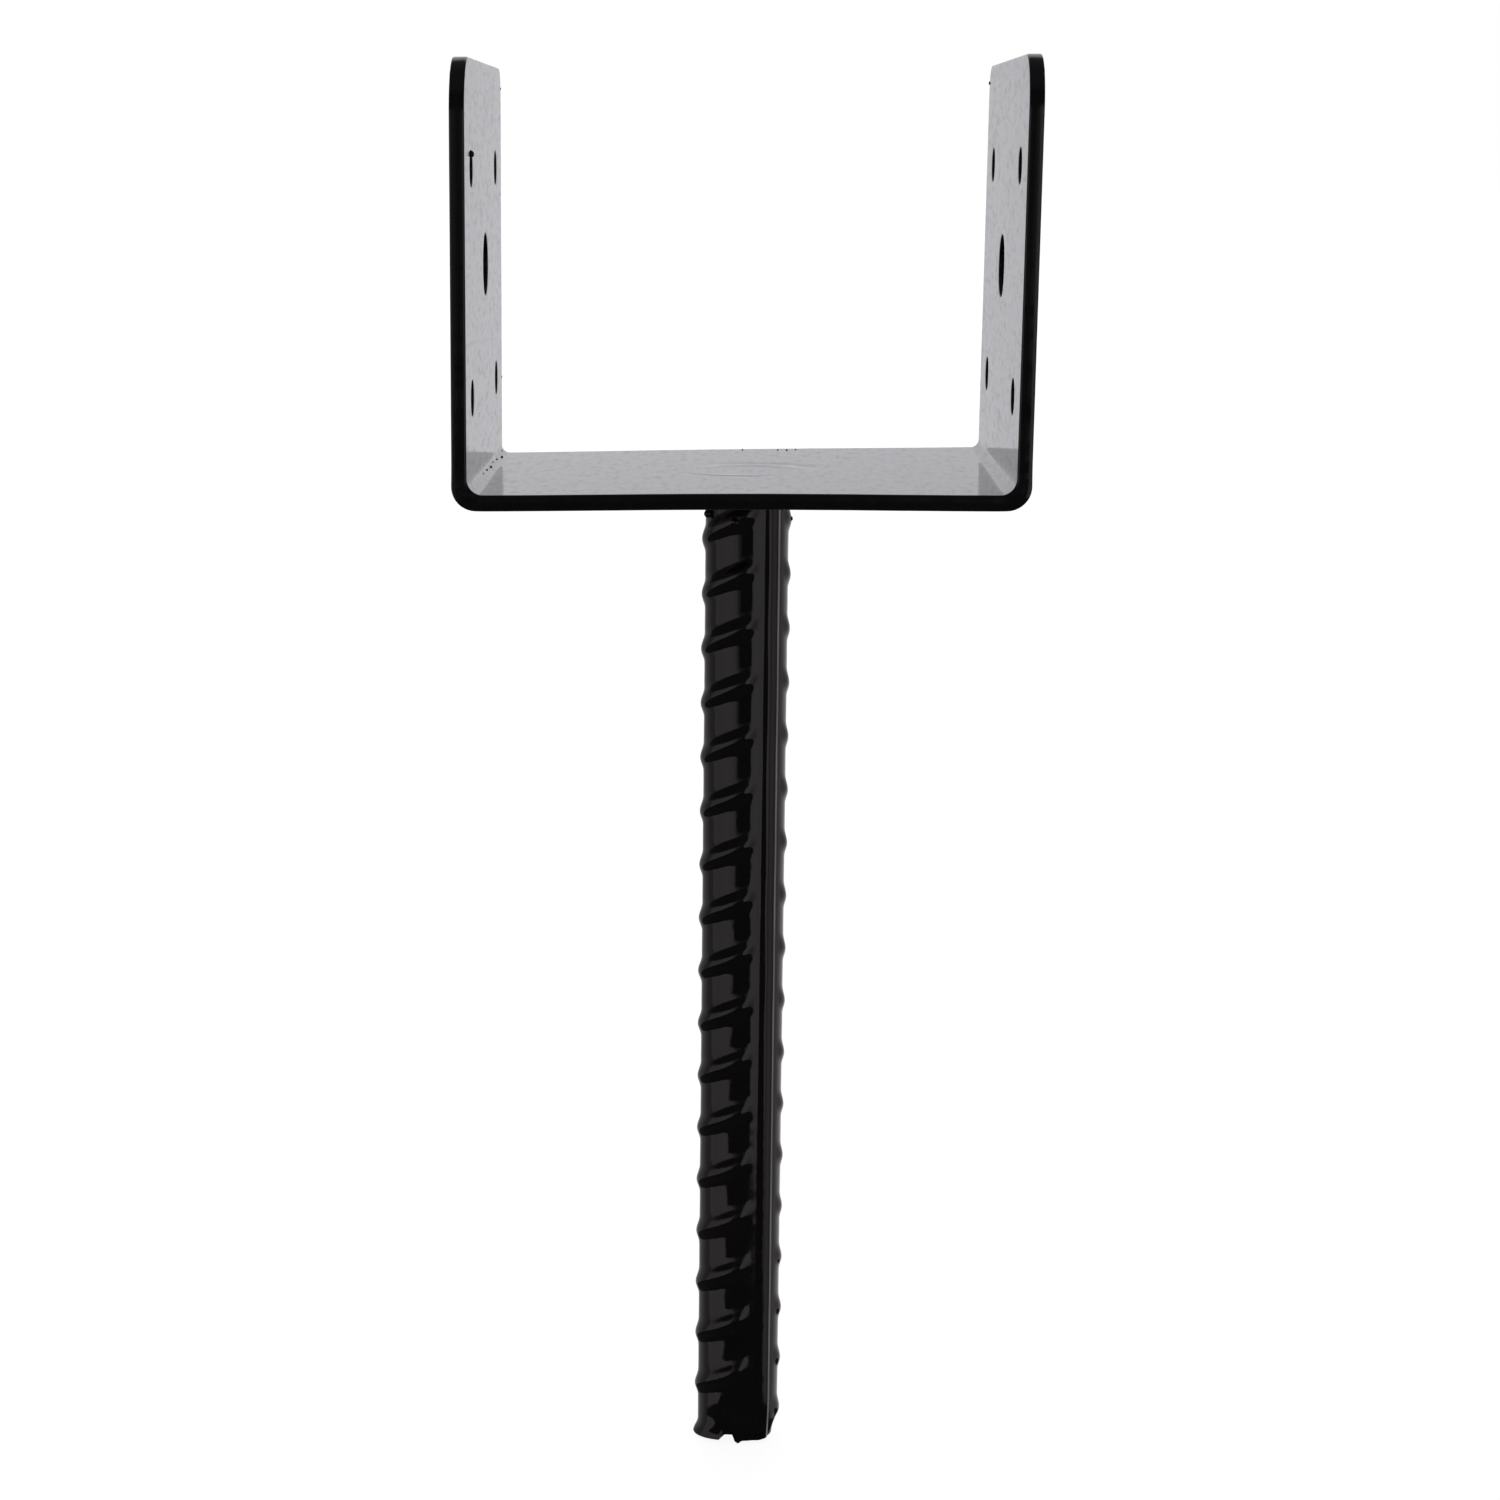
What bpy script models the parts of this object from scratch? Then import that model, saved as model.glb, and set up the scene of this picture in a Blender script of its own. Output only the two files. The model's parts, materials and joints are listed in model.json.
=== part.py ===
"""Post anchor: a U-shaped strap bracket welded on top of a ribbed steel bar.

The bar is cast into concrete and a square timber post stands between the cheeks.

Frame: metres, +Z up. The origin is the middle of the seat, the upper face of the
base that the post stands on. X runs from cheek to cheek, Y runs across the strap.
"""
from math import cos, pi, radians, sin

import bmesh
import bpy
from mathutils import Vector

MM = 0.001

# ---- driving dimensions -------------------------------------------------------------
POST_WIDTH = 90 * MM
POST_CLEARANCE = 1 * MM           # total, shared by both sides of the post
STRAP_WIDTH = 85 * MM
STRAP_THICKNESS = 2.5 * MM
CHEEK_HEIGHT = 71 * MM            # above the seat
BEND_INNER_RADIUS = 1.5 * MM
CHEEK_FRONT_CORNER = 9 * MM
CHEEK_BACK_CORNER = 3 * MM

SCREW_HOLE_DIAMETER = 6.2 * MM
SCREW_HOLE_SPACING_Y = 56 * MM
SCREW_HOLE_HEIGHTS = (15 * MM, 53 * MM)
BOLT_HOLE_DIAMETER = 11 * MM
BOLT_HOLE_Y = 3 * MM
BOLT_HOLE_HEIGHT = 36 * MM

BAR_LENGTH = 178 * MM             # below the base
BAR_CORE_RADIUS = 7.45 * MM
RIB_PITCH = 9.95 * MM
RIB_HEIGHT = 0.95 * MM
RIB_HALF_WIDTH = 2.4 * MM         # along the bar, from crest to foot
RIB_HALF_SPAN = radians(65)       # of the bar's girth, either side of the face's middle
RIB_SLOPE = 0.41                  # rise along the bar for each unit around it
LONG_RIB_ANGLE = radians(39)      # from the front, -Y, towards +X; its twin is opposite
LONG_RIB_HEIGHT = 0.5 * MM
LONG_RIB_CREST = 1.5 * MM
LONG_RIB_FOOT = 2.3 * MM

WELD_LEG = 3.8 * MM               # along the base
WELD_DROP = 5 * MM                # down the bar
WELD_EDGE = 0.4 * MM              # thickness of its rim at the base
WELD_HOLLOW = 0.12                # how far its face dips, as a part of the leg

GAP = 0.3 * MM                    # between solids that touch on the real part

# ---- worked out from them -----------------------------------------------------------
INNER_HALF = (POST_WIDTH + POST_CLEARANCE) / 2
OUTER_HALF = INNER_HALF + STRAP_THICKNESS
BASE_UNDERSIDE = -STRAP_THICKNESS
BAR_TOP = BASE_UNDERSIDE - GAP
BAR_BOTTOM = BASE_UNDERSIDE - BAR_LENGTH
WELD_BOTTOM = BAR_TOP - WELD_DROP
FIRST_RIB_Z = BASE_UNDERSIDE - 7.8 * MM
RIB_START_Z = WELD_BOTTOM - GAP   # the bar is plain above this, where the weld runs round
RIB_COUNT = 18

# ---- mesh resolution ----------------------------------------------------------------
BEND_STEPS = 8
CORNER_STEPS = 8
HOLE_SIDES = 32
FACE_STEPS = 10                   # around the bar, on each of its two ribbed faces
ROWS_PER_PITCH = 8
WELD_SIDES = 48
WELD_FACE_STEPS = 5

SMOOTH_ANGLE = radians(35)


def clear_scene():
    """Remove every object of the open scene."""
    for old in list(bpy.data.objects):
        bpy.data.objects.remove(old, do_unlink=True)


def coated_steel(name, colour, roughness):
    """Steel under a black coat of paint."""
    material = bpy.data.materials.new(name)
    material.use_nodes = True
    shader = material.node_tree.nodes["Principled BSDF"]
    shader.inputs["Base Color"].default_value = (*colour, 1.0)
    shader.inputs["Roughness"].default_value = roughness
    shader.inputs["Metallic"].default_value = 0.0
    shader.inputs["Coat Weight"].default_value = 0.6
    shader.inputs["Coat Roughness"].default_value = 0.08
    return material


def object_from_bmesh(name, mesh_builder, material=None):
    """Turn a finished bmesh into a smooth-shaded object with outward normals."""
    bmesh.ops.recalc_face_normals(mesh_builder, faces=mesh_builder.faces)
    mesh = bpy.data.meshes.new(name)
    mesh_builder.to_mesh(mesh)
    mesh_builder.free()
    mesh.shade_smooth()
    mesh.set_sharp_from_angle(angle=SMOOTH_ANGLE)
    if material:
        mesh.materials.append(material)
    built = bpy.data.objects.new(name, mesh)
    bpy.context.scene.collection.objects.link(built)
    return built


def arc(centre_x, centre_z, radius, start, end, steps):
    """Points on an arc in the XZ plane, from angle start to angle end."""
    angles = [start + (end - start) * i / steps for i in range(steps + 1)]
    return [(centre_x + radius * cos(a), centre_z + radius * sin(a)) for a in angles]


def u_profile():
    """Closed outline of the bent strap in the XZ plane, seen along Y."""
    bend_x = INNER_HALF - BEND_INNER_RADIUS
    bend_z = BEND_INNER_RADIUS
    outer_radius = BEND_INNER_RADIUS + STRAP_THICKNESS
    outer = [(-OUTER_HALF, CHEEK_HEIGHT)]
    outer += arc(-bend_x, bend_z, outer_radius, pi, 1.5 * pi, BEND_STEPS)
    outer += arc(bend_x, bend_z, outer_radius, 1.5 * pi, 2 * pi, BEND_STEPS)
    outer += [(OUTER_HALF, CHEEK_HEIGHT)]
    inner = [(INNER_HALF, CHEEK_HEIGHT)]
    inner += arc(bend_x, bend_z, BEND_INNER_RADIUS, 2 * pi, 1.5 * pi, BEND_STEPS)
    inner += arc(-bend_x, bend_z, BEND_INNER_RADIUS, 1.5 * pi, pi, BEND_STEPS)
    inner += [(-INNER_HALF, CHEEK_HEIGHT)]
    return outer + inner


def round_cheek_corners(builder):
    """Round the four free corners of the strap, where its ends meet its long edges."""
    for side, radius in ((-1, CHEEK_FRONT_CORNER), (1, CHEEK_BACK_CORNER)):
        corners = []
        for edge in builder.edges:
            a, b = (vert.co for vert in edge.verts)
            at_top = min(a.z, b.z) > CHEEK_HEIGHT - GAP
            along_x = abs(a.y - b.y) < GAP
            if at_top and along_x and side * a.y > 0:
                corners.append(edge)
        bmesh.ops.bevel(
            builder, geom=corners, offset=radius, segments=CORNER_STEPS, profile=0.5, affect="EDGES",
        )


def hole_cutter(name, diameter, y, z):
    """A cylinder along X that cuts one hole through both cheeks."""
    builder = bmesh.new()
    bmesh.ops.create_cone(
        builder, cap_ends=True, segments=HOLE_SIDES,
        radius1=diameter / 2, radius2=diameter / 2, depth=2 * OUTER_HALF + 20 * MM,
    )
    cutter = object_from_bmesh(name, builder)
    cutter.rotation_euler = (0, pi / 2, 0)
    cutter.location = (0, y, z)
    cutter.hide_render = True
    cutter.display_type = "WIRE"
    return cutter


def cheek_holes():
    """One cutter for each pair of facing holes: four for screws and one for a bolt."""
    cutters = []
    for row, height in enumerate(SCREW_HOLE_HEIGHTS):
        for column, side in enumerate((-1, 1)):
            name = f"screw_hole_cutter_{row}{column}"
            y = side * SCREW_HOLE_SPACING_Y / 2
            cutters.append(hole_cutter(name, SCREW_HOLE_DIAMETER, y, height))
    cutters.append(hole_cutter("bolt_hole_cutter", BOLT_HOLE_DIAMETER, BOLT_HOLE_Y, BOLT_HOLE_HEIGHT))
    return cutters


def build_bracket(material):
    """The strap: a bent U, extruded across its width, with rounded ends and holes."""
    builder = bmesh.new()
    front = [builder.verts.new((x, -STRAP_WIDTH / 2, z)) for x, z in u_profile()]
    face = builder.faces.new(front)
    extruded = bmesh.ops.extrude_face_region(builder, geom=[face])
    back = [item for item in extruded["geom"] if isinstance(item, bmesh.types.BMVert)]
    bmesh.ops.translate(builder, verts=back, vec=Vector((0, STRAP_WIDTH, 0)))
    round_cheek_corners(builder)
    bracket = object_from_bmesh("u_bracket", builder, material)
    for cutter in cheek_holes():
        cut = bracket.modifiers.new(cutter.name, "BOOLEAN")
        cut.operation = "DIFFERENCE"
        cut.solver = "EXACT"
        cut.object = cutter
    return bracket


def smooth_step(low, high, value):
    """0 below low, 1 above high, and a smooth ramp between them."""
    t = min(1.0, max(0.0, (value - low) / (high - low)))
    return t * t * (3 - 2 * t)


def bar_angles():
    """Angles around the bar, with edges along the feet and crests of the long ribs."""
    foot = LONG_RIB_FOOT / 2 / BAR_CORE_RADIUS
    crest = LONG_RIB_CREST / 2 / BAR_CORE_RADIUS
    angles = []
    for half_turn in (0, pi):
        middle = LONG_RIB_ANGLE + half_turn
        angles += [middle - foot, middle - crest, middle + crest, middle + foot]
        arc_length = pi - 2 * foot
        angles += [middle + foot + arc_length * i / FACE_STEPS for i in range(1, FACE_STEPS)]
    return angles


def long_rib_height(angle, z):
    """Height of the two straight ribs that run along the bar."""
    if z > RIB_START_Z:
        return 0.0
    from_rib = (angle - LONG_RIB_ANGLE + pi / 2) % pi - pi / 2
    across = abs(from_rib) * BAR_CORE_RADIUS
    return LONG_RIB_HEIGHT * (1 - smooth_step(LONG_RIB_CREST / 2, LONG_RIB_FOOT / 2, across))


def cross_rib_height(angle, z):
    """Height of the crescent ribs, which slant one way on one face, the other on its back."""
    from_face = (angle - LONG_RIB_ANGLE) % (2 * pi)
    slant = -1 if from_face < pi else 1
    off_middle = from_face % pi - pi / 2
    if abs(off_middle) >= RIB_HALF_SPAN or z > RIB_START_Z:
        return 0.0
    crescent = 1 - (off_middle / RIB_HALF_SPAN) ** 2
    crest_z = FIRST_RIB_Z + slant * RIB_SLOPE * BAR_CORE_RADIUS * off_middle
    nearest = round((crest_z - z) / RIB_PITCH)
    nearest = min(RIB_COUNT - 1, max(0, nearest))
    along = abs(z - crest_z + nearest * RIB_PITCH)
    return RIB_HEIGHT * crescent * (1 - smooth_step(0.25 * RIB_HALF_WIDTH, RIB_HALF_WIDTH, along))


def bar_point(angle, z):
    """A point on the bar's skin. Angle 0 faces the front, -Y, and grows towards +X."""
    radius = BAR_CORE_RADIUS + max(long_rib_height(angle, z), cross_rib_height(angle, z))
    return (radius * sin(angle), -radius * cos(angle), z)


def add_rings(builder, rings):
    """Skin a stack of rings with quads and close both ends."""
    loops = [[builder.verts.new(point) for point in ring] for ring in rings]
    for upper, lower in zip(loops, loops[1:]):
        for i in range(len(upper)):
            j = (i + 1) % len(upper)
            builder.faces.new((upper[i], lower[i], lower[j], upper[j]))
    builder.faces.new(loops[0])
    builder.faces.new(loops[-1])


def build_bar(material):
    """The ribbed reinforcing bar that is cast into the concrete."""
    rows = round((BAR_TOP - BAR_BOTTOM) / RIB_PITCH * ROWS_PER_PITCH)
    heights = [BAR_TOP + (BAR_BOTTOM - BAR_TOP) * i / rows for i in range(rows + 1)]
    angles = bar_angles()
    builder = bmesh.new()
    add_rings(builder, [[bar_point(angle, z) for angle in angles] for z in heights])
    return object_from_bmesh("rebar_anchor", builder, material)


def weld_profile():
    """Closed outline of the fillet weld, as (radius, z): a slightly hollow triangle."""
    inner = BAR_CORE_RADIUS + GAP
    outline = [(inner, BAR_TOP), (inner + WELD_LEG, BAR_TOP)]
    for i in range(WELD_FACE_STEPS + 1):
        t = i / WELD_FACE_STEPS
        dip = WELD_HOLLOW * sin(pi * t)
        radius = inner + WELD_EDGE + (WELD_LEG - WELD_EDGE) * (1 - t - dip)
        z = BAR_TOP - WELD_EDGE - (WELD_DROP - WELD_EDGE) * t
        outline.append((radius, z))
    outline.append((inner, WELD_BOTTOM))
    return outline


def build_weld(material):
    """The fillet weld, all round the joint of the bar and the base."""
    profile = weld_profile()
    builder = bmesh.new()
    sections = []
    for k in range(WELD_SIDES):
        turn = 2 * pi * k / WELD_SIDES
        sections.append([builder.verts.new((r * sin(turn), -r * cos(turn), z)) for r, z in profile])
    for k, here in enumerate(sections):
        beyond = sections[(k + 1) % WELD_SIDES]
        for i in range(len(profile)):
            j = (i + 1) % len(profile)
            builder.faces.new((here[i], here[j], beyond[j], beyond[i]))
    return object_from_bmesh("fillet_weld", builder, material)


def main():
    clear_scene()
    build_bracket(coated_steel("bracket_black_coat", (0.012, 0.012, 0.013), 0.25))
    build_bar(coated_steel("bar_black_coat", (0.015, 0.015, 0.015), 0.35))
    build_weld(coated_steel("weld_black_coat", (0.014, 0.014, 0.014), 0.4))


main()
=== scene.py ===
import json
from collections import namedtuple
from math import atan2, cos, degrees, exp, hypot, pi, radians, sin, sqrt

import bmesh
import bpy
from mathutils import Matrix, Vector, noise

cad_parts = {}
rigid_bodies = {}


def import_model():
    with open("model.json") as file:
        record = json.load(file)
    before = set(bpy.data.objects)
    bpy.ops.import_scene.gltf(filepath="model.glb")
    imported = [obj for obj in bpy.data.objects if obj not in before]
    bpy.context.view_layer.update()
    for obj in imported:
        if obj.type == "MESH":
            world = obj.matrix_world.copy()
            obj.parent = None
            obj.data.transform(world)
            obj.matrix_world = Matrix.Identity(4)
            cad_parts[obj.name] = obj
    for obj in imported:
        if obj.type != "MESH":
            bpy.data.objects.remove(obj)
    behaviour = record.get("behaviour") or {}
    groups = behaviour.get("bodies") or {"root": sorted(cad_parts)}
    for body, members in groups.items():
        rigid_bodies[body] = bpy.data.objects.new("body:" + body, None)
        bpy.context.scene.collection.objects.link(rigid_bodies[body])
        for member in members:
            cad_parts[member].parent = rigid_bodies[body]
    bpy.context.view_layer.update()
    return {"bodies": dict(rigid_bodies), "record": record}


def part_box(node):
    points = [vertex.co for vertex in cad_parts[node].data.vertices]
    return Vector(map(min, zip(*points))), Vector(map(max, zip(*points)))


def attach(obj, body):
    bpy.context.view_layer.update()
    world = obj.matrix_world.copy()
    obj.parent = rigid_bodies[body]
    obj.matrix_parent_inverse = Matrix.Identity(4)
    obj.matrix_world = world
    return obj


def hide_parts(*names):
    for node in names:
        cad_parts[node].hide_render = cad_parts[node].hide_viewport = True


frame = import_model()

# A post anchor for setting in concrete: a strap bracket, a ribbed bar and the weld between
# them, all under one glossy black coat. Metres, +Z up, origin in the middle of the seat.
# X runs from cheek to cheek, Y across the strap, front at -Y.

MM = 0.001

# ---- sizes read from the frame ------------------------------------------------------
BRACKET_LOW, BRACKET_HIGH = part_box("u_bracket")
OPENINGS = {o["name"]: o["box_m"] for o in frame["record"]["physics"]["openings"]}

OUTER_HALF = BRACKET_HIGH[0]
STRAP_HALF_WIDTH = BRACKET_HIGH[1]
CHEEK_TOP = BRACKET_HIGH[2]
BASE_UNDERSIDE = BRACKET_LOW[2]
THICKNESS = -BASE_UNDERSIDE
INNER_HALF = OUTER_HALF - THICKNESS
BAR_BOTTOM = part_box("rebar_anchor")[0][2]

# ---- strap --------------------------------------------------------------------------
BEND_INNER_RADIUS = 1.5 * MM
BEND_RADIUS = BEND_INNER_RADIUS + THICKNESS / 2       # of the strap's middle layer
FRONT_CORNER = 9 * MM
BACK_CORNER = 4.5 * MM
SCREW_HOLE_RADIUS = 3.1 * MM
BOLT_HOLE_RADIUS = 5.5 * MM
SCREW_HOLE_MARGIN = 1.6 * MM                          # of finer mesh round the hole
BOLT_HOLE_MARGIN = 2.4 * MM
BOLT_HOLE_DRIFT = -0.4 * MM                           # punched a little off, along the strap
HOLE_RINGS = 5
RIM_SINK = 0.05 * MM                                  # of the inner face at each hole's rim
RIM_SINK_WIDTH = 0.5 * MM
RIM_RADIUS = 0.3 * MM                                 # rounding left by shearing and paint
HOLE_RIM_RADIUS = 0.13 * MM
FLAT_HALF = INNER_HALF - BEND_INNER_RADIUS            # flat part of the base
CHEEK_START = FLAT_HALF + BEND_RADIUS * pi / 2        # along the unrolled strap
STRAP_HALF_LENGTH = CHEEK_START + CHEEK_TOP - BEND_INNER_RADIUS
STRAP_STEP = 0.9 * MM
BEND_STEPS = 10
BEND_FILL = 1.2 * MM                                  # more inner radius at the front edge
INNER_FACE = THICKNESS / 2                            # height above the strap's middle layer

# How the real strap strays from square.
LEAN = 0.0190                                         # both cheeks, towards +X
SPLAY = 0.0045                                        # each cheek, outwards
TWIST = 0.0059                                        # of the base, front against back
TWIST_REACH = 40 * MM                                 # up the cheeks
BASE_BOW = 0.21 * MM
BOW_TAPER = 0.07 * MM                                 # more bow in front, less behind
EDGE_BEAD = 0.2 * MM                                  # paint gathered under the base's two edges
EDGE_REACH = 2 * MM                                   # how far in from an edge that shows
BASE_DROP = 0.13 * MM
END_EXCESS = 0.5 * MM                                 # each cheek a little too tall
STRETCH_START = CHEEK_START - 30 * MM

# Unevenness, as layers of smooth noise: height, size, seed.
COAT_LAYERS = [(0.007 * MM, 9 * MM, 1.0), (0.002 * MM, 2.5 * MM, 2.0)]
BEND_LAYERS = [(0.02 * MM, 2 * MM, 11.0)]
EDGE_LAYERS = [(0.06 * MM, 5 * MM, 6.0), (0.03 * MM, 1.5 * MM, 7.0)]
SKIN_LAYERS = [(0.035 * MM, 7 * MM, 3.0), (0.01 * MM, 2 * MM, 4.0)]

# The seat shows part of a faint ring right above the weld: high inside it, low outside.
RING_CENTRE = (0.5 * MM, -0.5 * MM)
RING_RADIUS = 10.8 * MM
RING_SLOPE = 0.1
RING_WIDTH = 1.2 * MM                                 # in front; twice as wide behind
RING_STEP = 0.4 * MM
RING_TURN = radians(25)                               # where it shows most, from +Y towards +X

# ---- bar ----------------------------------------------------------------------------
BAR_TOP = BASE_UNDERSIDE + 0.5 * MM                   # sunk into the strap
BAR_CORE = 7.45 * MM
BAR_SHIFT = 1.2 * MM
BAR_LEAN = 0.0164
ROW_STEP = 0.45 * MM
RIB_HALF_SPAN = radians(70)
RIB_SLOPE = 0.41
RIB_FOOT_ABOVE = 2.8 * MM
RIB_FOOT_BELOW = 2.4 * MM
LONG_RIB_ANGLE = radians(39)                          # from -Y towards +X; its twin is opposite
LONG_RIB_HEIGHT = 0.5 * MM
LONG_RIB_CREST = 0.6 * MM
LONG_RIB_SHALLOW_FOOT = 2.1 * MM
LONG_RIB_STEEP_FOOT = 1.8 * MM
RIB_FACES = {                                         # height, pitch, first crest, slant
    "left": (0.68 * MM, 9.94 * MM, BASE_UNDERSIDE - 7.65 * MM, 1),
    "right": (0.52 * MM, 9.84 * MM, BASE_UNDERSIDE - 8.5 * MM, -1),
}

# The sheared lower end. Angles are in degrees from -Y towards +X, and each dent is full up to
# one height above the end and gone at another.
NOTCH_DEPTH = 1.2 * MM
NOTCH_FROM, NOTCH_TO, NOTCH_SOFT = -27.5, -6.5, 1.5
BURR_LENGTH = 0.5 * MM
BURR_ANGLE, BURR_SPREAD = 1, 4
ROLL_HEIGHT = 0.8 * MM
ROLL_ANGLE, ROLL_SPREAD = 105, 42
END_DENTS = [                                         # outwards, angle, spread, full to, gone at
    (0.3 * MM, -88, 24, 0.3 * MM, 2.2 * MM),          # flared on its left
    (0.3 * MM, -50, 32, 0.2 * MM, 1.1 * MM),          # a lip beside the flare
    (-1.2 * MM, 92, 26, 0, 3 * MM),                   # turned in on its right
    (-1.0 * MM, -3, 44, 0.5 * MM, 7.5 * MM),          # pressed flat in front
]
END_HOLLOW = 0.9 * MM                                 # of the cut face, in its middle
CUT_FACE_RINGS = (0.96, 0.85, 0.7, 0.55, 0.4, 0.25, 0.12)

# ---- weld ---------------------------------------------------------------------------
WELD_LEG = 3.6 * MM                                   # along the base
WELD_DROP = 3.5 * MM                                  # down the bar
WELD_SINK = 0.4 * MM                                  # into the strap and the bar
WELD_SWELL = 0.35 * MM
WELD_RIPPLE = 0.09 * MM
WELD_RIPPLES = 27
WELD_SLICES = 324
SECTION_STEPS = 16


def centre(low, high):
    return [(a + b) / 2 for a, b in zip(low, high)]


def smooth_step(low, high, value):
    """0 below low, 1 above high, and a smooth ramp between them."""
    t = min(1.0, max(0.0, (value - low) / (high - low)))
    return t * t * (3 - 2 * t)


def bell(value, width):
    return exp(-(value / width) ** 2)


def wave(point, size, seed=0.0):
    """Smooth noise from about -1 to 1, with features of about the given size."""
    return noise.noise(Vector(point) / size + Vector((seed, 1.7 * seed, 0.3 * seed)))


def layered(point, layers):
    return sum(height * wave(point, size, seed) for height, size, seed in layers)


def turned(angle):
    """The angle in degrees, from -180 to 180."""
    return (degrees(angle) + 180) % 360 - 180


def add_piece(name, builder, material, sharp=radians(42)):
    """Finish a bmesh as a smooth-shaded object."""
    bmesh.ops.recalc_face_normals(builder, faces=builder.faces)
    mesh = bpy.data.meshes.new(name)
    builder.to_mesh(mesh)
    builder.free()
    mesh.shade_smooth()
    mesh.set_sharp_from_angle(angle=sharp)
    mesh.materials.append(material)
    piece = bpy.data.objects.new(name, mesh)
    bpy.context.scene.collection.objects.link(piece)
    return piece


def add_blob(builder, place, size, seed, detail=3):
    """An uneven droplet of paint or spatter, sunk partly into what it sits on."""
    made = bmesh.ops.create_icosphere(builder, subdivisions=detail, radius=1.0)
    for vert in made["verts"]:
        grow = 1 + 0.14 * wave(vert.co, 0.9, seed)
        vert.co = Vector(place) + Vector([c * s * grow for c, s in zip(vert.co, size)])


# ---- bracket ------------------------------------------------------------------------
def up_cheek(z):
    """Distance along the unrolled strap, from its middle, of a place on a cheek."""
    return CHEEK_START + z - BEND_INNER_RADIUS


Hole = namedtuple("Hole", "along across radius patch")


def hole_list():
    """Each hole in the unrolled strap, with half the side of its square patch of mesh."""
    holes = []
    for name, (low, high) in OPENINGS.items():
        if "hole" not in name:
            continue
        x, across, z = centre(low, high)
        along = up_cheek(z) * (1 if x > 0 else -1)
        if "bolt" in name:
            along += BOLT_HOLE_DRIFT
            holes.append(Hole(along, across, BOLT_HOLE_RADIUS, BOLT_HOLE_RADIUS + BOLT_HOLE_MARGIN))
        else:
            holes.append(Hole(along, across, SCREW_HOLE_RADIUS, SCREW_HOLE_RADIUS + SCREW_HOLE_MARGIN))
    return holes


HOLES = hole_list()


def lines_through(stops, step):
    """Grid lines through every stop, evenly spaced between them, about a step apart."""
    stops = sorted({round(v, 7) for v in stops})
    lines = [stops[0]]
    for low, high in zip(stops, stops[1:]):
        count = max(1, round((high - low) / step))
        lines += [low + (high - low) * i / count for i in range(1, count + 1)]
    return lines


def nearest_line(lines, value):
    return min(range(len(lines)), key=lambda k: abs(lines[k] - value))


def round_corner(along, across):
    """Push the square corners of the unrolled strap in, onto an arc."""
    radius = BACK_CORNER if across > 0 else FRONT_CORNER
    start_along = STRAP_HALF_LENGTH - radius
    start_across = STRAP_HALF_WIDTH - radius
    u = (abs(along) - start_along) / radius
    v = (abs(across) - start_across) / radius
    if u <= 0 or v <= 0:
        return along, across
    new_along = start_along + radius * u * sqrt(1 - v * v / 2)
    new_across = start_across + radius * v * sqrt(1 - u * u / 2)
    return new_along * (1 if along > 0 else -1), new_across * (1 if across > 0 else -1)


def fill_round_hole(builder, ring, hole):
    """Fill between a square ring of vertices and the round hole inside it."""
    middle = Vector((hole.along, hole.across, 0))
    outer = ring
    for k in range(1, HOLE_RINGS + 1):
        t = 1 - (1 - k / HOLE_RINGS) ** 1.3
        inner = []
        for vert in ring:
            on_circle = middle + (vert.co - middle).normalized() * hole.radius
            inner.append(builder.verts.new(vert.co.lerp(on_circle, t)))
        for i in range(len(ring)):
            j = (i + 1) % len(ring)
            builder.faces.new((outer[i], outer[j], inner[j], inner[i]))
        outer = inner


def in_hole_patch(along, across):
    return any(abs(along - h.along) < h.patch and abs(across - h.across) < h.patch for h in HOLES)


def strap_lines():
    """Grid lines of the unrolled strap, along it and across it."""
    across_stops = {-STRAP_HALF_WIDTH, FRONT_CORNER - STRAP_HALF_WIDTH,
                    STRAP_HALF_WIDTH - BACK_CORNER, STRAP_HALF_WIDTH}
    ring_lines = round(1.2 * RING_RADIUS / RING_STEP)
    across_stops |= {RING_CENTRE[1] + k * RING_STEP for k in range(-ring_lines, ring_lines + 1)}
    bend_length = CHEEK_START - FLAT_HALF
    bend_stops = [FLAT_HALF + bend_length * k / BEND_STEPS for k in range(-4, BEND_STEPS + 5)]
    end_stops = [STRAP_HALF_LENGTH - v for v in (FRONT_CORNER, BACK_CORNER, 0)]
    along_stops = {side * v for side in (-1, 1) for v in bend_stops + end_stops}
    for hole in HOLES:
        along_stops |= {hole.along - hole.patch, hole.along + hole.patch}
        across_stops |= {hole.across - hole.patch, hole.across + hole.patch}
    return lines_through(along_stops, STRAP_STEP), lines_through(across_stops, STRAP_STEP)


def unrolled_strap():
    """The strap as one flat layer of quads, with its holes and rounded corners."""
    along_lines, across_lines = strap_lines()
    builder = bmesh.new()
    grid = {}

    def vert(i, j):
        if (i, j) not in grid:
            grid[i, j] = builder.verts.new((*round_corner(along_lines[i], across_lines[j]), 0))
        return grid[i, j]

    for i, (a0, a1) in enumerate(zip(along_lines, along_lines[1:])):
        for j, (b0, b1) in enumerate(zip(across_lines, across_lines[1:])):
            if not in_hole_patch((a0 + a1) / 2, (b0 + b1) / 2):
                builder.faces.new((vert(i, j), vert(i + 1, j), vert(i + 1, j + 1), vert(i, j + 1)))
    for hole in HOLES:
        i0, i1 = (nearest_line(along_lines, hole.along + s * hole.patch) for s in (-1, 1))
        j0, j1 = (nearest_line(across_lines, hole.across + s * hole.patch) for s in (-1, 1))
        ring = [vert(i, j0) for i in range(i0, i1)] + [vert(i1, j) for j in range(j0, j1)]
        ring += [vert(i, j1) for i in range(i1, i0, -1)] + [vert(i0, j) for j in range(j1, j0, -1)]
        fill_round_hole(builder, ring, hole)
    return builder


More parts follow.
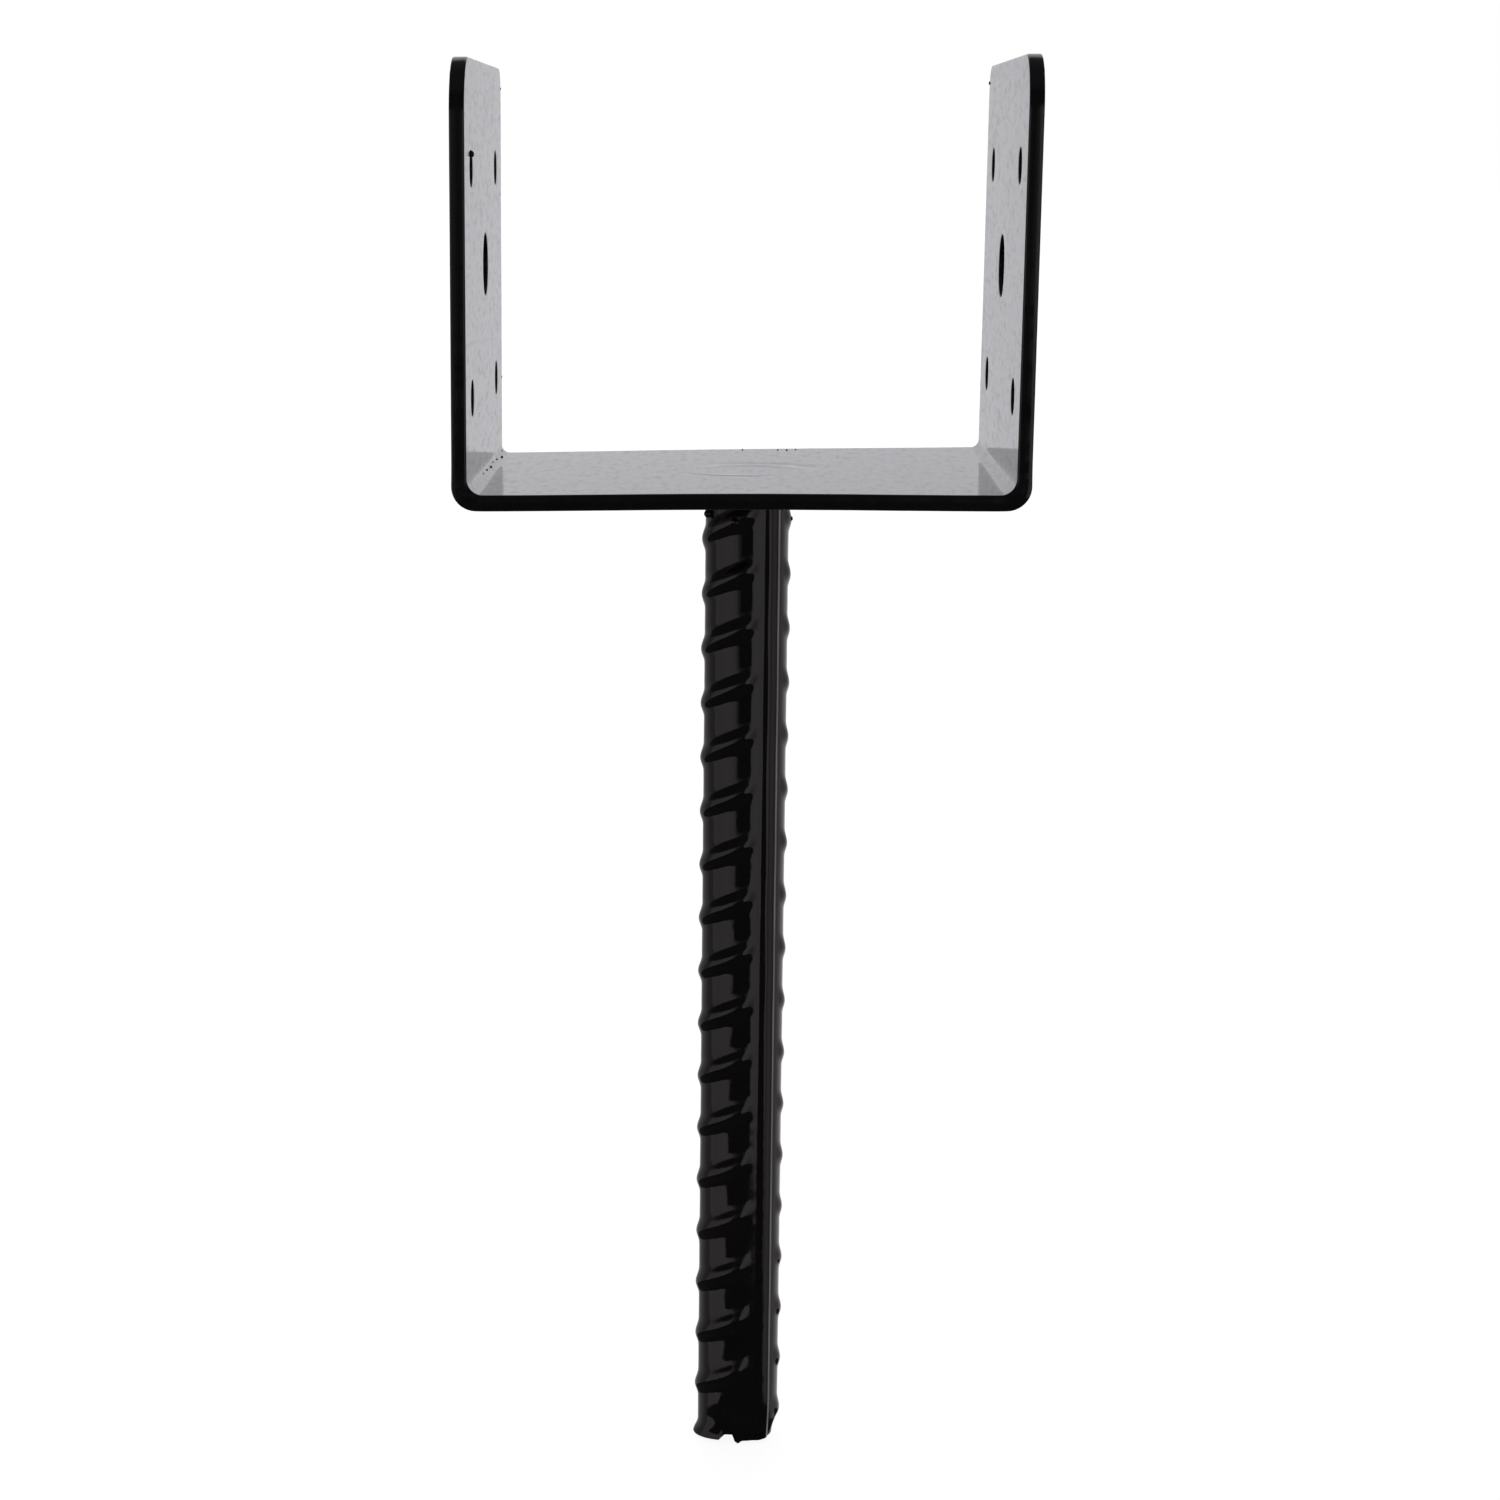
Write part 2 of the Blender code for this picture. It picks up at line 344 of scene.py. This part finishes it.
def inner_relief(along, across):
    """How far the inner face stands above flat: the ring over the weld, and sunk hole rims."""
    off = (along - RING_CENTRE[0], across - RING_CENTRE[1])
    strength = cos(atan2(*off) - RING_TURN) ** 2
    width = RING_WIDTH * (1 + smooth_step(-RING_RADIUS / 2, RING_RADIUS / 2, off[1]))
    outside = (hypot(*off) - RING_RADIUS) / width
    height = -RING_SLOPE * width * strength * outside * bell(outside, 1)
    for hole in HOLES:
        from_rim = hypot(along - hole.along, across - hole.across) - hole.radius
        height -= RIM_SINK * bell(from_rim, RIM_SINK_WIDTH)
    return height


def bend_fill(run, across):
    """Height added inside a bend, so that its inner radius grows towards the front edge."""
    wider = BEND_FILL * smooth_step(STRAP_HALF_WIDTH, -STRAP_HALF_WIDTH, across)
    radius = BEND_INNER_RADIUS + wider
    into = wider - max(FLAT_HALF - run, run - CHEEK_START)
    if into <= 0:
        return 0.0
    if into < wider:
        return radius - sqrt(radius ** 2 - into ** 2)
    turn = (run - FLAT_HALF) / BEND_RADIUS
    reach = wider * (sin(turn) + cos(turn))
    return BEND_INNER_RADIUS + reach - sqrt(reach ** 2 + radius ** 2 - 2 * wider ** 2)


def bend(along, across, height):
    """Fold the unrolled strap. Height is measured from its middle layer, inwards."""
    side = 1 if along >= 0 else -1
    run = abs(along)
    if run <= FLAT_HALF:
        x = run
        bow = BASE_BOW - BOW_TAPER * across / STRAP_HALF_WIDTH
        z = height - INNER_FACE + bow * (1 - (run / FLAT_HALF) ** 2) ** 2
    elif run <= CHEEK_START:
        turn = (run - FLAT_HALF) / BEND_RADIUS
        x = FLAT_HALF + (BEND_RADIUS - height) * sin(turn)
        z = BEND_INNER_RADIUS - (BEND_RADIUS - height) * cos(turn)
    else:
        x = INNER_HALF + INNER_FACE - height
        z = BEND_INNER_RADIUS + run - CHEEK_START
    z -= BASE_DROP
    x = side * (x + SPLAY * z) + LEAN * z
    z += TWIST * x * across / STRAP_HALF_WIDTH * (1 - smooth_step(0, TWIST_REACH, z))
    return Vector((x, across, z))


def strap_point(along, across, height):
    """Add the coat's unevenness, the worn edges and the relief, then fold."""
    flat = (along, across, 0)
    on_inner = smooth_step(0, INNER_FACE, height)
    on_face = smooth_step(0.6 * INNER_FACE, 0.8 * INNER_FACE, abs(height))
    height += on_inner * (inner_relief(along, across) + bend_fill(abs(along), across))
    stretch = END_EXCESS * smooth_step(STRETCH_START, STRAP_HALF_LENGTH, abs(along))
    along *= 1 + stretch / STRAP_HALF_LENGTH
    at_bend = bell(abs(along) - (FLAT_HALF + CHEEK_START) / 2, 2.5 * MM)
    height += on_face * (layered(flat, COAT_LAYERS) + at_bend * layered(flat, BEND_LAYERS))
    near_edge = smooth_step(STRAP_HALF_WIDTH - EDGE_REACH, STRAP_HALF_WIDTH, abs(across))
    in_base = smooth_step(CHEEK_START + 4 * MM, FLAT_HALF - 2 * MM, abs(along))
    height -= EDGE_BEAD * near_edge * in_base * (1 - on_inner) * on_face
    across += near_edge * layered(flat, EDGE_LAYERS)
    return bend(along, across, height)


def add_paint_runs(builder):
    """Beads and specks where the wet coat gathered: hole edge, cut edges and inner bend."""
    beads = [                                         # along, across, height, radius
        (-up_cheek(55.8 * MM), -28.2 * MM, INNER_FACE, 0.55 * MM),
        (-up_cheek(67.8 * MM), 42.4 * MM, INNER_FACE - 0.2 * MM, 0.3 * MM),
        (-up_cheek(14.3 * MM), 42.4 * MM, INNER_FACE - 0.2 * MM, 0.3 * MM),
        (up_cheek(68.4 * MM), 42.3 * MM, INNER_FACE - 0.2 * MM, 0.4 * MM),
        (up_cheek(9 * MM), 42.4 * MM, INNER_FACE - 0.3 * MM, 0.25 * MM),
        (0.4 * MM, 41.0 * MM, INNER_FACE, 0.15 * MM),
        (7.1 * MM, 39.6 * MM, INNER_FACE, 0.15 * MM),
        (8.8 * MM, 39.0 * MM, INNER_FACE, 0.19 * MM),
        (10.5 * MM, 39.7 * MM, INNER_FACE, 0.15 * MM),
    ]
    for k in range(7):
        bend_along = -(FLAT_HALF + CHEEK_START) / 2 + 2.2 * MM * wave((k, 3, 0), 1.3, 9.0)
        bead_across = (38 - 8.3 * k) * MM
        bead_height = INNER_FACE + bend_fill(abs(bend_along), bead_across)
        beads.append((bend_along, bead_across, bead_height, (0.12 + 0.06 * (k * 2 % 3)) * MM))
    for seed, (along, across, height, radius) in enumerate(beads):
        add_blob(builder, bend(along, across, height), (radius, radius * 1.15, radius * 1.1), seed, 2)


def is_sharp(edge):
    """Whether an edge of the unrolled strap is a square one, left by shearing or punching."""
    return len(edge.link_faces) == 2 and edge.calc_face_angle() > radians(60)


def on_hole_rim(edge):
    along, across = edge.verts[0].co.xy
    return any(hypot(along - h.along, across - h.across) < h.radius + 0.1 * MM for h in HOLES)


def build_bracket(material):
    builder = unrolled_strap()
    extruded = bmesh.ops.extrude_face_region(builder, geom=list(builder.faces), use_keep_orig=True)
    upper = [v for v in extruded["geom"] if isinstance(v, bmesh.types.BMVert)]
    bmesh.ops.translate(builder, verts=list(builder.verts), vec=(0, 0, -INNER_FACE))
    bmesh.ops.translate(builder, verts=upper, vec=(0, 0, THICKNESS))
    bmesh.ops.recalc_face_normals(builder, faces=builder.faces)
    for near_hole, radius in ((True, HOLE_RIM_RADIUS), (False, RIM_RADIUS)):
        rims = [e for e in builder.edges if is_sharp(e) and on_hole_rim(e) == near_hole]
        bmesh.ops.bevel(builder, geom=rims, offset=radius, segments=3, profile=0.5, affect="EDGES")
    for vert in builder.verts:
        vert.co = strap_point(*vert.co)
    add_paint_runs(builder)
    return add_piece("bracket", builder, material)


# ---- bar ----------------------------------------------------------------------------
def bar_angles():
    """Angles round the bar, closer together on the flanks of the two long ribs."""
    near = radians(16)
    angles = []
    for middle in (LONG_RIB_ANGLE, LONG_RIB_ANGLE + pi):
        angles += [middle - near + 2 * near * i / 40 for i in range(40)]
        angles += [middle + near + (pi - 2 * near) * i / 70 for i in range(70)]
    return angles


def long_rib(angle, z):
    """A straight rib along the bar, steeper on one flank than on the other."""
    from_rib = (angle - LONG_RIB_ANGLE + pi / 2) % pi - pi / 2
    foot = LONG_RIB_STEEP_FOOT if from_rib > 0 else LONG_RIB_SHALLOW_FOOT
    height = LONG_RIB_HEIGHT * (1 + 0.2 * wave((0, 0, z), 14 * MM, 5.0))
    return height * (1 - smooth_step(LONG_RIB_CREST, foot, abs(from_rib) * BAR_CORE))


def cross_rib(angle, z):
    """A crescent rib: low at its ends, with a longer slope above the crest than below."""
    from_face = (angle - LONG_RIB_ANGLE) % (2 * pi)
    height, pitch, first_crest, slant = RIB_FACES["right" if from_face < pi else "left"]
    off_middle = from_face % pi - pi / 2
    share = abs(off_middle) / RIB_HALF_SPAN
    if share >= 1:
        return 0.0
    crest_z = first_crest + slant * RIB_SLOPE * BAR_CORE * off_middle
    number = round((crest_z - z) / pitch)
    above = z - (crest_z - number * pitch)
    foot = RIB_FOOT_ABOVE if above > 0 else RIB_FOOT_BELOW
    height *= 1 + 0.12 * wave((number, slant, 0), 1.7, 2.0)
    height *= (1 - 0.25 * share ** 2) * (1 - smooth_step(0.68, 1, share))
    height *= 1 - bell(turned(angle), 60) * (1 - smooth_step(4 * MM, 9 * MM, z - BAR_BOTTOM))
    return height * rib_slice(abs(above) / foot)


def rib_slice(run):
    """A rib's height, as a share, from its narrow crest (0) to its foot (1)."""
    return 1 - smooth_step(0.02, 1, run) if run < 1 else 0.0


def end_height(angle):
    """Height of the sheared lower end: notched, burred, and rolled up on its right."""
    around = turned(angle)
    low = BAR_BOTTOM + 0.1 * MM + 0.2 * MM * wave((sin(angle), cos(angle), 0), 0.7, 1.5)
    notch = smooth_step(NOTCH_FROM - NOTCH_SOFT, NOTCH_FROM + NOTCH_SOFT, around)
    notch *= 1 - smooth_step(NOTCH_TO - NOTCH_SOFT, NOTCH_TO + NOTCH_SOFT, around)
    burr = bell(around - BURR_ANGLE, BURR_SPREAD)
    rolled = bell(around - ROLL_ANGLE, ROLL_SPREAD)
    return low + NOTCH_DEPTH * notch - BURR_LENGTH * burr + ROLL_HEIGHT * rolled


def end_dents(angle, above_end):
    """How far the sheared end is pushed out or in at its sides."""
    around = turned(angle)
    return sum(outwards * bell(around - at, spread) * smooth_step(gone_at, full_to, above_end)
               for outwards, at, spread, full_to, gone_at in END_DENTS)


def on_bar(angle, z, proud=0.0):
    """A place on the core of the leaning bar, or some distance proud of it."""
    radius = BAR_CORE + proud
    return Vector((radius * sin(angle) + BAR_SHIFT + BAR_LEAN * z, -radius * cos(angle), z))


def bar_point(angle, z, low):
    skin = (sin(angle) * BAR_CORE, cos(angle) * BAR_CORE, z)
    proud = max(long_rib(angle, z), cross_rib(angle, z))
    proud += end_dents(angle, z - low) + layered(skin, SKIN_LAYERS)
    return on_bar(angle, z, proud)


def cut_face_ring(rim, step):
    """Places on the hollowed cut face, at a share of the way from its middle to its rim."""
    hub = Vector((BAR_SHIFT + BAR_LEAN * BAR_BOTTOM, 0, BAR_BOTTOM + END_HOLLOW))
    places = [hub.lerp(place, step) for place in rim]
    for place in places:
        place.z += 0.3 * MM * wave(place, 2.2 * MM, 8.0) * (1 - step)
    return places


def join_rings(builder, upper, lower):
    for i in range(len(upper)):
        j = (i + 1) % len(upper)
        builder.faces.new((upper[i], lower[i], lower[j], upper[j]))


def build_bar(material):
    ends = [(angle, end_height(angle)) for angle in bar_angles()]
    rows = round((BAR_TOP - BAR_BOTTOM) / ROW_STEP)
    rings = []
    for k in range(rows + 1):
        share = k / rows
        rings.append([bar_point(angle, BAR_TOP + (low - BAR_TOP) * share, low) for angle, low in ends])
    rim = rings[-1]
    rings += [cut_face_ring(rim, step) for step in CUT_FACE_RINGS]
    builder = bmesh.new()
    rings = [[builder.verts.new(place) for place in ring] for ring in rings]
    for upper, lower in zip(rings, rings[1:]):
        join_rings(builder, upper, lower)
    builder.faces.new(rings[0])
    builder.faces.new(rings[-1])
    return add_piece("ribbed_bar", builder, material)


# ---- weld ---------------------------------------------------------------------------
def weld_section(turn):
    """One slice of the bead, as (radius, z) points, with the ripples of its welding passes."""
    place = (sin(turn), cos(turn), 0)
    leg = WELD_LEG * (1 + 0.16 * wave(place, 0.8, 3.1))
    drop = WELD_DROP * (1 + 0.12 * wave(place, 0.8, 8.4))
    ripple = WELD_RIPPLE * sin(WELD_RIPPLES * turn + 2 * wave(place, 0.5, 2.0))
    points = []
    for i in range(SECTION_STEPS + 1):
        t = i / SECTION_STEPS
        swell = (WELD_SWELL + ripple) * sin(pi * t)
        points.append((BAR_CORE + leg * (1 - t) + 0.7 * swell, BASE_UNDERSIDE - drop * t - 0.7 * swell))
    points.append((BAR_CORE - WELD_SINK, points[-1][1]))
    points.append((BAR_CORE - WELD_SINK, BASE_UNDERSIDE + WELD_SINK))
    points.append((BAR_CORE + leg, BASE_UNDERSIDE + WELD_SINK))
    return points


def add_spatter(builder):
    """Weld spatter that the coat has covered: on the bar below the bead, and under the base."""
    drops = [                                         # angle, z, radius
        (radians(-63), -7.3 * MM, 0.75 * MM),
        (radians(-16), -8.4 * MM, 0.8 * MM),
        (radians(84), -8.6 * MM, 0.5 * MM),
        (radians(150), -7.6 * MM, 0.6 * MM),
    ]
    for seed, (angle, z, radius) in enumerate(drops):
        add_blob(builder, on_bar(angle, z, 0.5 * radius), (radius,) * 3, seed + 20)
    for k in range(7):
        angle = 2.4 * k
        reach = (14 + 1.9 * k) * MM
        place = (reach * sin(angle), -reach * cos(angle), BASE_UNDERSIDE)
        add_blob(builder, place, (0.5 * MM, 0.45 * MM, 0.35 * MM), seed=k + 40, detail=2)


def build_weld(material):
    builder = bmesh.new()
    rings = []
    for k in range(WELD_SLICES):
        turn = 2 * pi * k / WELD_SLICES
        rings.append([builder.verts.new(on_bar(turn, z, r - BAR_CORE)) for r, z in weld_section(turn)])
    for here, beyond in zip(rings, rings[1:] + rings[:1]):
        join_rings(builder, here, beyond)
    add_spatter(builder)
    return add_piece("weld_bead", builder, material)


# ---- materials and world, as node graphs --------------------------------------------
# Sizes of the coat's noise, in features per metre.
DRIFT_SCALE = 60
PATCH_SCALE = 180
PEEL_SCALE = 400
SPOT_SCALE = 800
SPECKLE_SCALE = 1400
GRAIN_SCALE = 2200
SPOT_STRETCH = 0.25                                   # the spots are four times longer along Y
DARKEST, BROWNEST = (0.0016, 0.0016, 0.0019, 1), (0.0038, 0.0028, 0.0028, 1)
DUST = (0.012, 0.011, 0.01, 1)


def grey(level):
    return (level, level, level, 1)


class Graph:
    """A small helper that adds and links shader nodes."""

    def __init__(self, tree):
        self.nodes, self.links = tree.nodes, tree.links

    def feed(self, socket, value):
        if isinstance(value, bpy.types.NodeSocket):
            self.links.new(value, socket)
        else:
            socket.default_value = value

    def math(self, kind, a, b=0.0):
        node = self.nodes.new("ShaderNodeMath")
        node.operation = kind
        self.feed(node.inputs[0], a)
        self.feed(node.inputs[1], b)
        return node.outputs[0]

    def fade(self, value, low, high, at_low=0.0, at_high=1.0):
        """A smooth ramp of value: at_low where it is low, at_high where it is high."""
        node = self.nodes.new("ShaderNodeMapRange")
        node.interpolation_type = "SMOOTHSTEP"
        for name, number in (("Value", value), ("From Min", low), ("From Max", high),
                             ("To Min", at_low), ("To Max", at_high)):
            self.feed(node.inputs[name], number)
        return node.outputs[0]

    def within(self, value, low, high, soft):
        """1 between low and high, 0 outside, with soft ends."""
        begins = self.fade(value, low - soft, low + soft)
        ends = self.fade(value, high - soft, high + soft, 1.0, 0.0)
        return self.math("MULTIPLY", begins, ends)

    def mix(self, share, a, b):
        node = self.nodes.new("ShaderNodeMix")
        node.data_type = "RGBA"
        self.feed(node.inputs["Factor"], share)
        self.feed(node.inputs[6], a)
        self.feed(node.inputs[7], b)
        return node.outputs[2]

    def ramp(self, turn, marks):
        """Colours round the full circle, given as (degrees, colour)."""
        node = self.nodes.new("ShaderNodeValToRGB")
        node.color_ramp.interpolation = "EASE"
        elements = node.color_ramp.elements
        while len(elements) < len(marks):
            elements.new(0.5)
        for element, (at, colour) in zip(elements, marks):
            element.position = at / 360 + 0.5
            element.color = (*colour, 1)
        self.feed(node.inputs[0], turn)
        return node.outputs[0]

    def noise(self, where, scale, detail=3.0, roughness=0.55):
        node = self.nodes.new("ShaderNodeTexNoise")
        self.feed(node.inputs["Vector"], where)
        node.inputs["Scale"].default_value = scale
        node.inputs["Detail"].default_value = detail
        node.inputs["Roughness"].default_value = roughness
        return node.outputs["Fac"]

    def bump(self, height, distance, normal=None):
        node = self.nodes.new("ShaderNodeBump")
        node.inputs["Strength"].default_value = 1.0
        node.inputs["Distance"].default_value = distance
        self.feed(node.inputs["Height"], height)
        if normal:
            self.feed(node.inputs["Normal"], normal)
        return node.outputs[0]


def coat_colour(graph, where, speckle):
    """Nearly black, with a faint drift of colour and a little dust."""
    dark = graph.mix(graph.noise(where, DRIFT_SCALE), DARKEST, BROWNEST)
    dusty = graph.math("MULTIPLY", graph.fade(speckle, 0.62, 0.8), 0.3)
    return graph.mix(dusty, dark, DUST)


def coat_roughness(graph, where, speckle, smoothest, roughest):
    patches = graph.noise(where, PATCH_SCALE, detail=4)
    uneven = graph.math("ADD", graph.math("MULTIPLY", patches, 0.7), graph.math("MULTIPLY", speckle, 0.3))
    return graph.fade(uneven, 0.3, 0.7, smoothest, roughest)


def dull_spots(graph, where, dullest):
    """Roughness to add in small spots, which are longer across the strap."""
    drawn_out = graph.nodes.new("ShaderNodeMapping")
    drawn_out.inputs["Scale"].default_value = (1, SPOT_STRETCH, 1)
    graph.feed(drawn_out.inputs["Vector"], where)
    return graph.fade(graph.noise(drawn_out.outputs[0], SPOT_SCALE), 0.35, 0.75, 0.0, dullest)


def black_coat(name, smoothest, roughest, peel, grain, dullest=0.0):
    """Glossy black paint with orange peel, a fine grain, and duller patches and spots."""
    material = bpy.data.materials.new(name)
    material.use_nodes = True
    graph = Graph(material.node_tree)
    shader = graph.nodes["Principled BSDF"]
    shader.inputs["IOR"].default_value = 1.5
    where = graph.nodes.new("ShaderNodeTexCoord").outputs["Object"]
    speckle = graph.noise(where, SPECKLE_SCALE, detail=2)
    graph.feed(shader.inputs["Base Color"], coat_colour(graph, where, speckle))
    roughness = coat_roughness(graph, where, speckle, smoothest, roughest)
    if dullest:
        roughness = graph.math("ADD", roughness, dull_spots(graph, where, dullest))
    graph.feed(shader.inputs["Roughness"], roughness)
    peeled = graph.bump(graph.noise(where, PEEL_SCALE, detail=2), peel)
    grained = graph.bump(graph.noise(where, GRAIN_SCALE, detail=2), grain, peeled)
    graph.feed(shader.inputs["Normal"], grained)
    return material


# ---- studio -------------------------------------------------------------------------
SENSOR = 36                                           # millimetres, like the lens
LENS = 77.6208
CAMERA_PLACE = Vector((-1.37, -575.99, 55.12)) * MM
CAMERA_PITCH, CAMERA_YAW, CAMERA_ROLL = -0.1817, -0.0047, -0.0053
FLOOR_GAP = 0.7 * MM
FLOOR_RADIUS = 20
FLOOR_GLOW = 0.92

BACKDROP = 0.765
COOL, PLAIN, WARM = (0.99, 0.985, 1.03), (1, 1, 1), (1.06, 0.95, 0.97)
SIDE_PANELS = [                                       # azimuth from the front, brightness, tint
    (-180, BACKDROP, COOL), (-168, BACKDROP, COOL), (-160, 0.4, PLAIN), (-144, 0.27, PLAIN),
    (-122, 0.25, PLAIN), (-112, 0.19, WARM), (-98, 0.2, WARM), (-90, 0.44, WARM), (-44, 0.55, WARM),
    (-30, 0.5, WARM), (-18, 0.15, PLAIN), (0, 0.05, PLAIN), (12, 0.15, PLAIN), (20, 0.6, PLAIN),
    (38, 0.6, WARM), (54, 0.3, WARM), (64, 0.25, PLAIN), (78, 0.4, WARM), (90, 0.2, WARM),
    (100, 0.25, WARM), (114, 0.38, WARM), (140, 0.6, PLAIN), (166, BACKDROP, COOL),
    (180, BACKDROP, COOL),
]
# Everything under this edge is dark, as if behind the rim of a low table.
TABLE_RIM = [                                         # azimuth from the front, degrees of rise
    (-158, -27), (-100, -25), (-60, -22.5), (-46, -20.5), (-28, -14.5), (-20, -11), (-12, -4),
    (14, -4), (18, -13), (30, -18), (64, -21.5), (90, -25), (158, -27),
]
LOWEST_RISE = -30
RIM_SOFT = radians(0.8)

# The dark parts of the studio: brightness, and where they begin and end.
ABOVE_LEVEL, BELOW_LEVEL, OVERHEAD_LEVEL = 0.05, 0.035, 0.1
PANEL_TOP = (radians(4), radians(11))
OVERHEAD = (radians(35), radians(50))
DARK_BELOW = (radians(-158), radians(158))
DARK_ABOVE = (radians(-124), radians(158))
AZIMUTH_SOFT = radians(6)


def build_camera():
    data = bpy.data.cameras.new("camera")
    data.sensor_width = SENSOR
    data.lens = LENS
    data.clip_start = 0.01
    data.clip_end = 100
    camera = bpy.data.objects.new("camera", data)
    turn = Matrix.Rotation(CAMERA_YAW, 4, "Z") @ Matrix.Rotation(pi / 2 + CAMERA_PITCH, 4, "X")
    turn = turn @ Matrix.Rotation(CAMERA_ROLL, 4, "Z")
    camera.matrix_world = Matrix.Translation(CAMERA_PLACE) @ turn
    bpy.context.scene.collection.objects.link(camera)
    bpy.context.scene.camera = camera


def build_floor():
    """A plain pale floor under the bar's lower end. From below it isn't there."""
    material = bpy.data.materials.new("pale_floor")
    material.use_nodes = True
    graph = Graph(material.node_tree)
    shader = graph.nodes["Principled BSDF"]
    where = graph.nodes.new("ShaderNodeTexCoord").outputs["Object"]
    graph.feed(shader.inputs["Base Color"],
               graph.mix(graph.noise(where, 6), grey(0.86), grey(0.9)))
    shader.inputs["Roughness"].default_value = 0.9
    shader.inputs["Specular IOR Level"].default_value = 0.1
    shader.inputs["Emission Color"].default_value = grey(1)
    shader.inputs["Emission Strength"].default_value = FLOOR_GLOW
    see_through = graph.nodes.new("ShaderNodeBsdfTransparent")
    either = graph.nodes.new("ShaderNodeMixShader")
    graph.feed(either.inputs[0], graph.nodes.new("ShaderNodeNewGeometry").outputs["Backfacing"])
    graph.links.new(shader.outputs[0], either.inputs[1])
    graph.links.new(see_through.outputs[0], either.inputs[2])
    graph.links.new(either.outputs[0], graph.nodes["Material Output"].inputs[0])
    builder = bmesh.new()
    bmesh.ops.create_circle(builder, cap_ends=True, segments=96, radius=FLOOR_RADIUS)
    floor = add_piece("floor", builder, material)
    floor.location.z = BAR_BOTTOM - FLOOR_GAP
    floor.visible_glossy = False


def build_world():
    """A white backdrop, and round the other sides soft panels that the glossy paint mirrors."""
    world = bpy.data.worlds.new("studio")
    bpy.context.scene.world = world
    world.use_nodes = True
    graph = Graph(world.node_tree)
    split = graph.nodes.new("ShaderNodeSeparateXYZ")
    graph.feed(split.inputs[0], graph.nodes.new("ShaderNodeTexCoord").outputs["Generated"])
    x, y, z = split.outputs
    azimuth = graph.math("ARCTAN2", x, graph.math("MULTIPLY", y, -1.0))
    rise = graph.math("ARCSINE", z)
    turn = graph.math("ADD", graph.math("DIVIDE", azimuth, 2 * pi), 0.5)

    level = graph.ramp(turn, [(at, [bright * part for part in tint]) for at, bright, tint in SIDE_PANELS])
    above = graph.math("MULTIPLY", graph.within(azimuth, *DARK_ABOVE, AZIMUTH_SOFT),
                       graph.fade(rise, *PANEL_TOP))
    level = graph.mix(above, level, grey(ABOVE_LEVEL))
    rim = graph.ramp(turn, [(at, [rim_rise / LOWEST_RISE] * 3) for at, rim_rise in TABLE_RIM])
    over_rim = graph.math("SUBTRACT", rise, graph.math("MULTIPLY", rim, radians(LOWEST_RISE)))
    below = graph.math("MULTIPLY", graph.within(azimuth, *DARK_BELOW, AZIMUTH_SOFT),
                       graph.fade(over_rim, RIM_SOFT, -RIM_SOFT))
    level = graph.mix(below, level, grey(BELOW_LEVEL))
    level = graph.mix(graph.fade(rise, *OVERHEAD), level, grey(OVERHEAD_LEVEL))
    to_camera = graph.nodes.new("ShaderNodeLightPath").outputs["Is Camera Ray"]
    graph.feed(graph.nodes["Background"].inputs["Color"], graph.mix(to_camera, level, grey(1)))


def main():
    build_camera()
    build_world()
    build_floor()
    bracket_coat = black_coat("bracket_coat", 0.05, 0.1, peel=0.022 * MM, grain=0.004 * MM, dullest=0.1)
    bar_coat = black_coat("bar_coat", 0.04, 0.1, peel=0.008 * MM, grain=0.0012 * MM)
    weld_coat = black_coat("weld_coat", 0.1, 0.22, peel=0.01 * MM, grain=0.0015 * MM)
    body = next(iter(frame["bodies"]))
    for piece, node, slot in (
        (build_bracket(bracket_coat), "u_bracket", "bracket_coat"),
        (build_bar(bar_coat), "rebar_anchor", "bar_coat"),
        (build_weld(weld_coat), "fillet_weld", "weld_coat"),
    ):
        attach(piece, body)
        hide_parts(node)
    bpy.context.scene.view_settings.view_transform = "Standard"


main()
